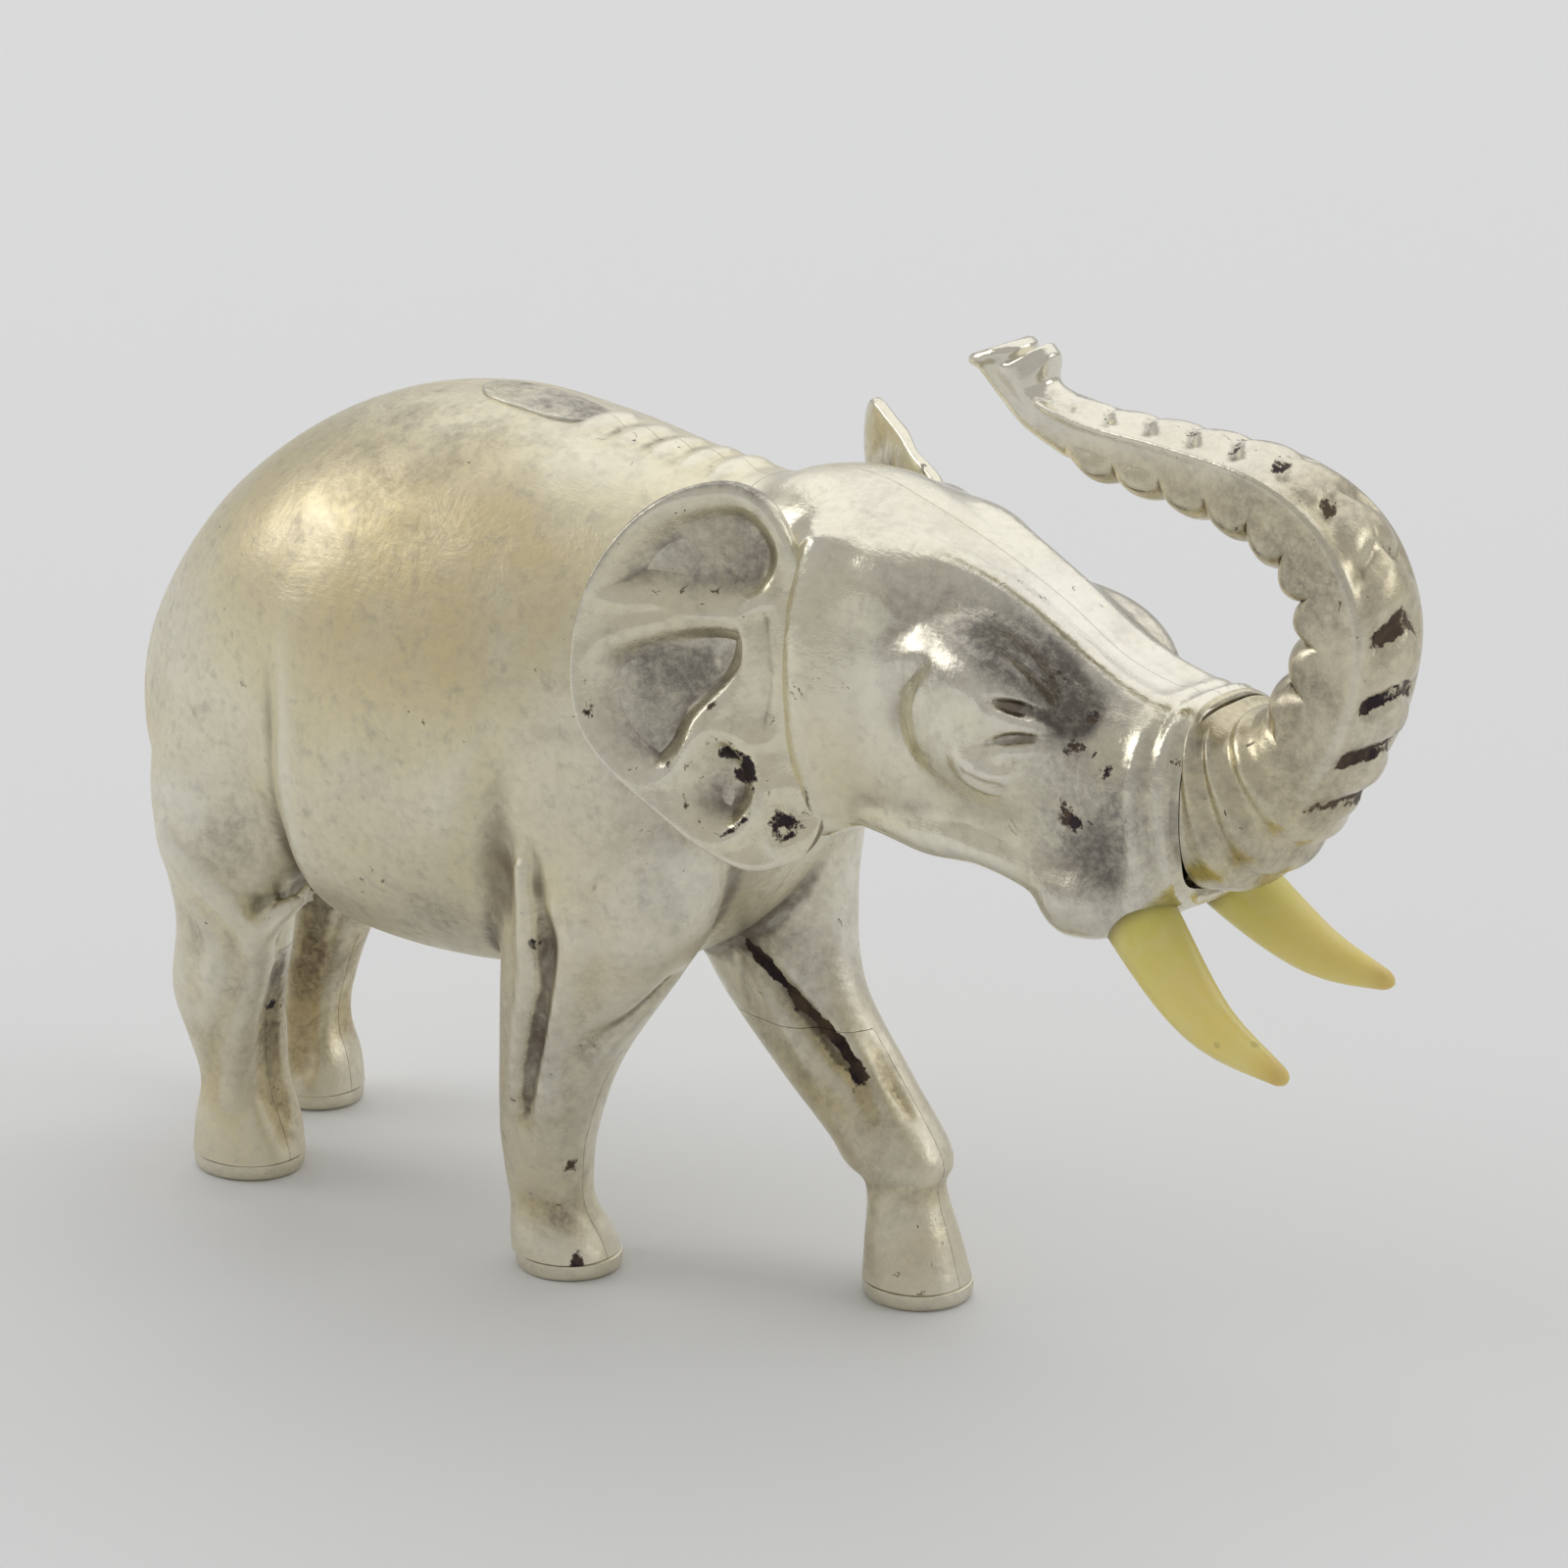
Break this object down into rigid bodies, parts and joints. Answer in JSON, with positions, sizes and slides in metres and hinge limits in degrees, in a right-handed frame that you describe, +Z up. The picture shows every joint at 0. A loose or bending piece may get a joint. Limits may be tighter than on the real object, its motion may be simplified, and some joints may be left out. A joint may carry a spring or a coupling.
{
  "type": "elephant figurine",
  "caption": "Small hollow silver figurine of a striding elephant, its trunk curled up and back over the head, with pale resin tusks. Stands on its own feet.",
  "frame": {"origin": "on the ground, under the middle of the figure's bounding box", "axes": "+X forwards, the way the elephant walks, +Y to the elephant's left, +Z up"},
  "size_m": [0.0616, 0.0194, 0.0408],
  "materials": {
    "silver_sheet": "satin",
    "silver_casting": "satin",
    "tusk_resin": "satin"
  },
  "bodies": {
    "root": {"body_shell_right": "silver_sheet", "body_shell_left": "silver_sheet", "head_shell_right": "silver_sheet", "head_shell_left": "silver_sheet", "inner_leg_front_right": "silver_sheet", "inner_leg_front_left": "silver_sheet", "inner_leg_hind_right": "silver_sheet", "inner_leg_hind_left": "silver_sheet", "sole_front_right": "silver_sheet", "sole_front_left": "silver_sheet", "sole_hind_right": "silver_sheet", "sole_hind_left": "silver_sheet", "ear_right": "silver_sheet", "ear_left": "silver_sheet", "vent_plug": "silver_sheet", "trunk": "silver_casting", "tail": "silver_casting", "tusk_right": "tusk_resin", "tusk_left": "tusk_resin"}
  },
  "joints": []
}
